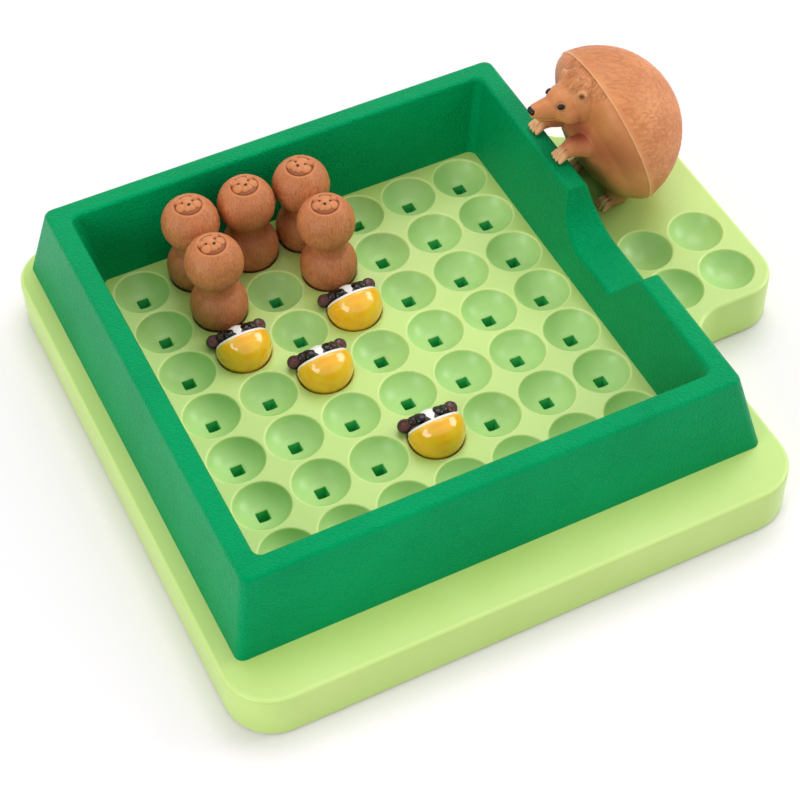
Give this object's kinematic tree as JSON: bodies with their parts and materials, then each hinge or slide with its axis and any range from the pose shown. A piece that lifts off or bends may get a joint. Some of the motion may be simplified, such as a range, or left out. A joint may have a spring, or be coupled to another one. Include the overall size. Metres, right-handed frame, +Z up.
{
  "type": "walled peg jump puzzle",
  "caption": "Dimpled tray with a notched wall round its pen and a side platform, carrying stacked-ball animal figures, square-pegged blockers and a large hedgehog figure.",
  "frame": {"origin": "on the standing surface, under the middle of the tray's bounding box", "axes": "+X to the right along the front edge, towards the platform; +Y to the back; +Z up"},
  "size_m": [0.253, 0.2224, 0.0814],
  "materials": {
    "light_green_plastic": "satin moulded polystyrene, soft sheen",
    "dark_green_plastic": "moulded plastic with a fine pebble texture",
    "pad_rubber": "matt rubber pad",
    "screw_steel": "zinc-plated steel",
    "brown_vinyl": "soft matt vinyl with moulded hair lines",
    "yellow_plastic": "glossy moulded plastic",
    "badger_face_paint": "glossy painted plastic, dark brown and white"
  },
  "bodies": {
    "board": {"board_shell": "light_green_plastic", "socket_tray": "dark_green_plastic", "wall_frame": "dark_green_plastic", "rubber_pads": "pad_rubber", "tray_screws": "screw_steel", "frame_screws": "screw_steel"},
    "baby_1": {"baby_hedgehog_1": "brown_vinyl"},
    "baby_2": {"baby_hedgehog_2": "brown_vinyl"},
    "baby_3": {"baby_hedgehog_3": "brown_vinyl"},
    "baby_4": {"baby_hedgehog_4": "brown_vinyl"},
    "baby_5": {"baby_hedgehog_5": "brown_vinyl"},
    "badger_1": {"badger_1_body": "yellow_plastic", "badger_1_head": "badger_face_paint"},
    "badger_2": {"badger_2_body": "yellow_plastic", "badger_2_head": "badger_face_paint"},
    "badger_3": {"badger_3_body": "yellow_plastic", "badger_3_head": "badger_face_paint"},
    "badger_4": {"badger_4_body": "yellow_plastic", "badger_4_head": "badger_face_paint"},
    "mother": {"mother_back": "brown_vinyl", "mother_body": "brown_vinyl"}
  },
  "joints": [
    {"name": "baby_1_lift", "type": "slide", "parent": "board", "child": "baby_1", "axis": [0, 0, 1], "range_m": [0, 0.06]},
    {"name": "baby_2_lift", "type": "slide", "parent": "board", "child": "baby_2", "axis": [0, 0, 1], "range_m": [0, 0.06]},
    {"name": "baby_3_lift", "type": "slide", "parent": "board", "child": "baby_3", "axis": [0, 0, 1], "range_m": [0, 0.06]},
    {"name": "baby_4_lift", "type": "slide", "parent": "board", "child": "baby_4", "axis": [0, 0, 1], "range_m": [0, 0.06]},
    {"name": "baby_5_lift", "type": "slide", "parent": "board", "child": "baby_5", "axis": [0, 0, 1], "range_m": [0, 0.06]},
    {"name": "badger_1_lift", "type": "slide", "parent": "board", "child": "badger_1", "axis": [0, 0, 1], "range_m": [0, 0.06]},
    {"name": "badger_2_lift", "type": "slide", "parent": "board", "child": "badger_2", "axis": [0, 0, 1], "range_m": [0, 0.06]},
    {"name": "badger_3_lift", "type": "slide", "parent": "board", "child": "badger_3", "axis": [0, 0, 1], "range_m": [0, 0.06]},
    {"name": "badger_4_lift", "type": "slide", "parent": "board", "child": "badger_4", "axis": [0, 0, 1], "range_m": [0, 0.06]},
    {"name": "mother_lift", "type": "slide", "parent": "board", "child": "mother", "axis": [0, 0, 1], "range_m": [0, 0.06]}
  ]
}
